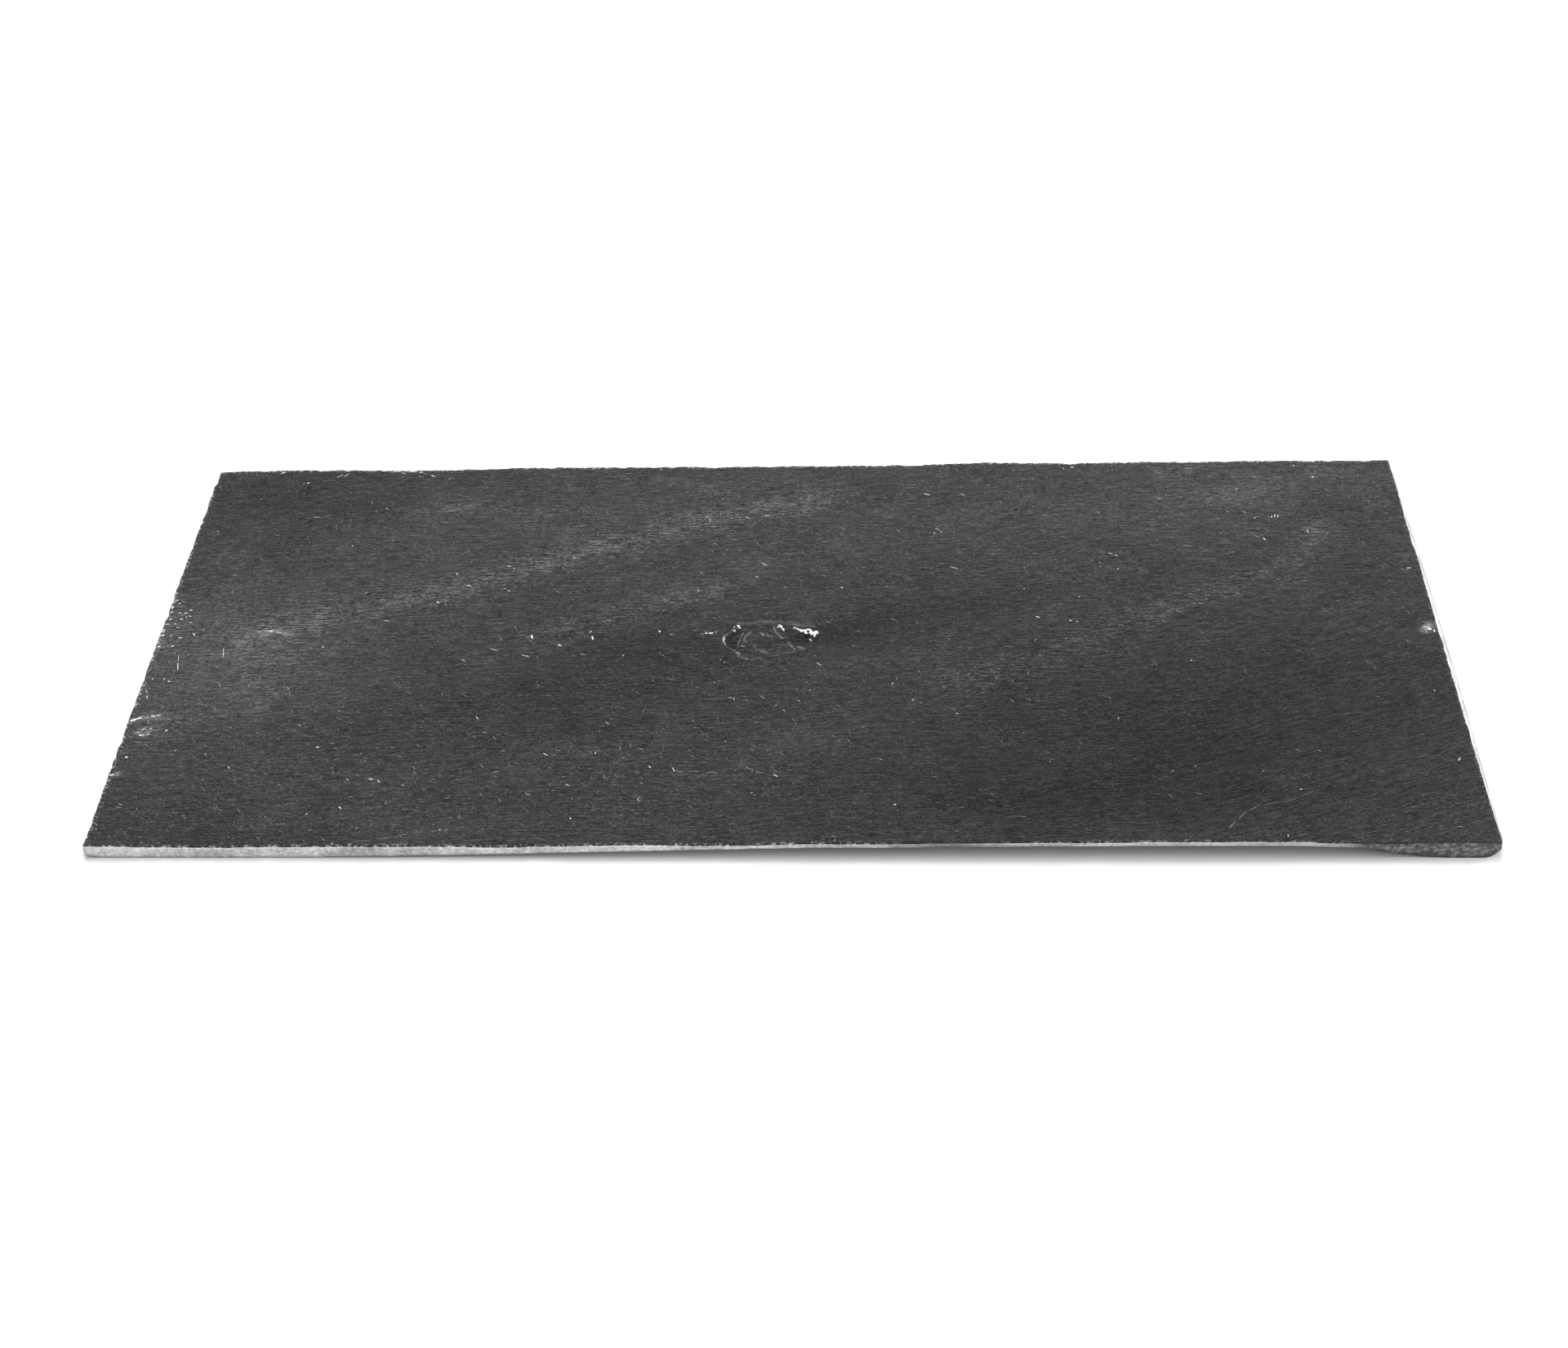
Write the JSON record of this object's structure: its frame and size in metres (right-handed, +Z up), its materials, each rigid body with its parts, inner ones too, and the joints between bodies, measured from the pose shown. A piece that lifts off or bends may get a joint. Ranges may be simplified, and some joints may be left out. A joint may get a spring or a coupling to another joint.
{
  "type": "slate slab",
  "caption": "Flat rectangular slab of dark riven slate with dressed pale edges, an eye-shaped knot in its top face and flakes gone from under its front edge.",
  "frame": {"origin": "middle of the slab's box, on the surface that the slab lies on", "axes": "+X along the slab's length, to the right; +Y from its thin, hollowed front edge to the back; +Z up, out of the riven top face"},
  "size_m": [0.6052, 0.3014, 0.0089],
  "materials": {
    "riven_slate": "matt, riven"
  },
  "bodies": {
    "root": {"slab": "riven_slate"}
  },
  "joints": []
}
